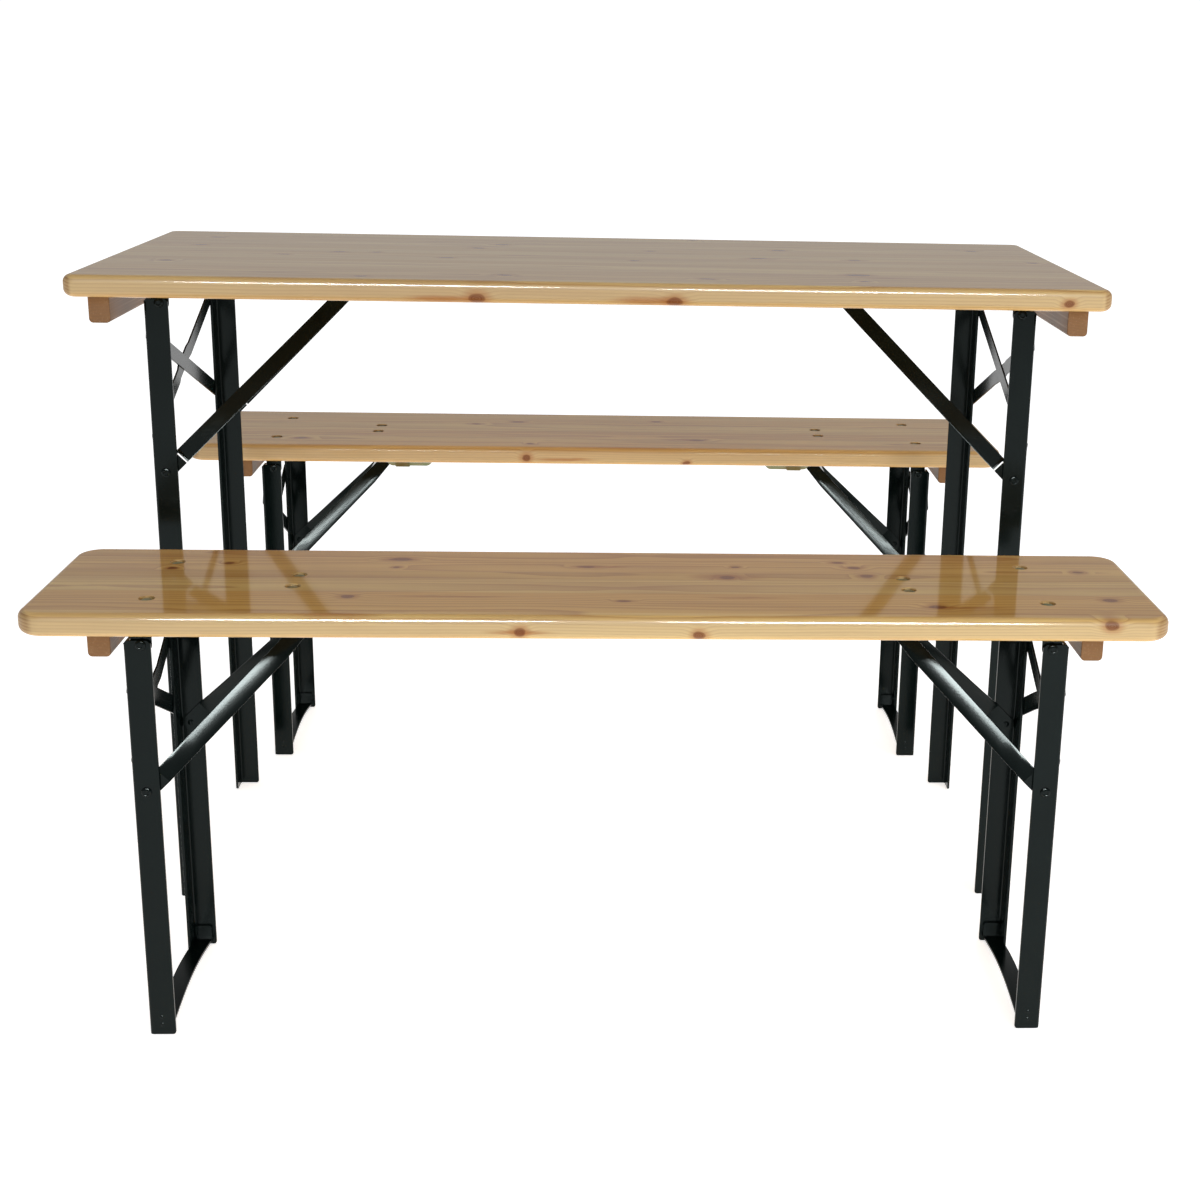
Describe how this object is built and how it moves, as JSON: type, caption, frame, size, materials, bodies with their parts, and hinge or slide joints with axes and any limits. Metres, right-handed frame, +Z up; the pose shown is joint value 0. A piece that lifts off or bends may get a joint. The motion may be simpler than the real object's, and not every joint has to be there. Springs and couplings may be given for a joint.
{
  "type": "folding picnic table set",
  "caption": "Folding picnic table with matching benches: varnished wooden boards on angle-steel leg frames that fold flat under each board, held open by V-shaped braces.",
  "frame": {"origin": "on the floor, at the middle of the footprint of the table and its two benches", "axes": "+X along the boards, -Y towards the front bench, +Z up"},
  "size_m": [1.182, 1.035, 0.78],
  "materials": {
    "top_wood": "clear varnished glued pine",
    "seat_wood": "clear varnished glued pine",
    "batten_wood": "varnished pine batten",
    "coated_steel": "gloss black-green powder coat",
    "zinc": "yellow zinc plated steel"
  },
  "bodies": {
    "table_panel": {"table_top": "top_wood", "table_left_batten": "batten_wood", "table_left_latch_keeper": "zinc", "table_left_front_hinge_bracket": "coated_steel", "table_left_back_hinge_bracket": "coated_steel", "table_right_batten": "batten_wood", "table_right_latch_keeper": "zinc", "table_right_front_hinge_bracket": "coated_steel", "table_right_back_hinge_bracket": "coated_steel"},
    "table_left_leg_frame": {"table_left_front_leg": "coated_steel", "table_left_back_leg": "coated_steel", "table_left_x_brace": "coated_steel"},
    "table_left_brace": {"table_left_fold_brace": "coated_steel"},
    "table_right_leg_frame": {"table_right_front_leg": "coated_steel", "table_right_back_leg": "coated_steel", "table_right_x_brace": "coated_steel"},
    "table_right_brace": {"table_right_fold_brace": "coated_steel"},
    "front_bench_panel": {"front_bench_seat": "seat_wood", "front_bench_left_batten": "batten_wood", "front_bench_left_latch_keeper": "zinc", "front_bench_left_front_hinge_bracket": "coated_steel", "front_bench_left_back_hinge_bracket": "coated_steel", "front_bench_right_batten": "batten_wood", "front_bench_right_latch_keeper": "zinc", "front_bench_right_front_hinge_bracket": "coated_steel", "front_bench_right_back_hinge_bracket": "coated_steel"},
    "front_bench_left_leg_frame": {"front_bench_left_front_leg": "coated_steel", "front_bench_left_back_leg": "coated_steel", "front_bench_left_x_brace": "coated_steel", "front_bench_left_foot_strip": "coated_steel"},
    "front_bench_left_brace": {"front_bench_left_fold_brace": "coated_steel"},
    "front_bench_right_leg_frame": {"front_bench_right_front_leg": "coated_steel", "front_bench_right_back_leg": "coated_steel", "front_bench_right_x_brace": "coated_steel", "front_bench_right_foot_strip": "coated_steel"},
    "front_bench_right_brace": {"front_bench_right_fold_brace": "coated_steel"},
    "back_bench_panel": {"back_bench_seat": "seat_wood", "back_bench_left_batten": "batten_wood", "back_bench_left_latch_keeper": "zinc", "back_bench_left_front_hinge_bracket": "coated_steel", "back_bench_left_back_hinge_bracket": "coated_steel", "back_bench_right_batten": "batten_wood", "back_bench_right_latch_keeper": "zinc", "back_bench_right_front_hinge_bracket": "coated_steel", "back_bench_right_back_hinge_bracket": "coated_steel"},
    "back_bench_left_leg_frame": {"back_bench_left_front_leg": "coated_steel", "back_bench_left_back_leg": "coated_steel", "back_bench_left_x_brace": "coated_steel", "back_bench_left_foot_strip": "coated_steel"},
    "back_bench_left_brace": {"back_bench_left_fold_brace": "coated_steel"},
    "back_bench_right_leg_frame": {"back_bench_right_front_leg": "coated_steel", "back_bench_right_back_leg": "coated_steel", "back_bench_right_x_brace": "coated_steel", "back_bench_right_foot_strip": "coated_steel"},
    "back_bench_right_brace": {"back_bench_right_fold_brace": "coated_steel"}
  },
  "joints": [
    {"name": "table_left_fold", "type": "hinge", "parent": "table_panel", "child": "table_left_leg_frame", "pos_m": [-0.5025, 0.0095, 0.741], "axis": [0, -1, 0], "range_deg": [0, 90]},
    {"name": "table_left_brace_pivot", "type": "hinge", "parent": "table_left_leg_frame", "child": "table_left_brace", "pos_m": [-0.50625, 0.0095, 0.543], "axis": [0, -1, 0], "range_deg": [-136, 0]},
    {"name": "table_right_fold", "type": "hinge", "parent": "table_panel", "child": "table_right_leg_frame", "pos_m": [0.4905, 0.0095, 0.741], "axis": [0, 1, 0], "range_deg": [0, 81]},
    {"name": "table_right_brace_pivot", "type": "hinge", "parent": "table_right_leg_frame", "child": "table_right_brace", "pos_m": [0.49425, 0.0095, 0.543], "axis": [0, 1, 0], "range_deg": [-136, 0]},
    {"name": "front_bench_slide", "type": "slide", "parent": "table_panel", "child": "front_bench_panel", "axis": [0, -1, 0], "range_m": [-0.06, 0.3]},
    {"name": "front_bench_left_fold", "type": "hinge", "parent": "front_bench_panel", "child": "front_bench_left_leg_frame", "pos_m": [-0.4595, -0.3935, 0.441], "axis": [0, -1, 0], "range_deg": [0, 90]},
    {"name": "front_bench_left_brace_pivot", "type": "hinge", "parent": "front_bench_left_leg_frame", "child": "front_bench_left_brace", "pos_m": [-0.46325, -0.3935, 0.281], "axis": [0, -1, 0], "range_deg": [-136, 0]},
    {"name": "front_bench_right_fold", "type": "hinge", "parent": "front_bench_panel", "child": "front_bench_right_leg_frame", "pos_m": [0.4715, -0.3935, 0.441], "axis": [0, 1, 0], "range_deg": [0, 90]},
    {"name": "front_bench_right_brace_pivot", "type": "hinge", "parent": "front_bench_right_leg_frame", "child": "front_bench_right_brace", "pos_m": [0.47525, -0.3935, 0.281], "axis": [0, 1, 0], "range_deg": [-136, 0]},
    {"name": "back_bench_slide", "type": "slide", "parent": "table_panel", "child": "back_bench_panel", "axis": [0, 1, 0], "range_m": [-0.06, 0.3]},
    {"name": "back_bench_left_fold", "type": "hinge", "parent": "back_bench_panel", "child": "back_bench_left_leg_frame", "pos_m": [-0.4715, 0.3935, 0.441], "axis": [0, -1, 0], "range_deg": [0, 90]},
    {"name": "back_bench_left_brace_pivot", "type": "hinge", "parent": "back_bench_left_leg_frame", "child": "back_bench_left_brace", "pos_m": [-0.47525, 0.3935, 0.281], "axis": [0, -1, 0], "range_deg": [-136, 0]},
    {"name": "back_bench_right_fold", "type": "hinge", "parent": "back_bench_panel", "child": "back_bench_right_leg_frame", "pos_m": [0.4595, 0.3935, 0.441], "axis": [0, 1, 0], "range_deg": [0, 90]},
    {"name": "back_bench_right_brace_pivot", "type": "hinge", "parent": "back_bench_right_leg_frame", "child": "back_bench_right_brace", "pos_m": [0.46325, 0.3935, 0.281], "axis": [0, 1, 0], "range_deg": [-136, 0]}
  ],
  "couplings": [
    {"joint": "table_left_brace_pivot", "follows": "table_left_fold", "ratio": -1.5},
    {"joint": "table_right_brace_pivot", "follows": "table_right_fold", "ratio": -1.5},
    {"joint": "front_bench_left_brace_pivot", "follows": "front_bench_left_fold", "ratio": -1.5},
    {"joint": "front_bench_right_brace_pivot", "follows": "front_bench_right_fold", "ratio": -1.5},
    {"joint": "back_bench_left_brace_pivot", "follows": "back_bench_left_fold", "ratio": -1.5},
    {"joint": "back_bench_right_brace_pivot", "follows": "back_bench_right_fold", "ratio": -1.5}
  ]
}
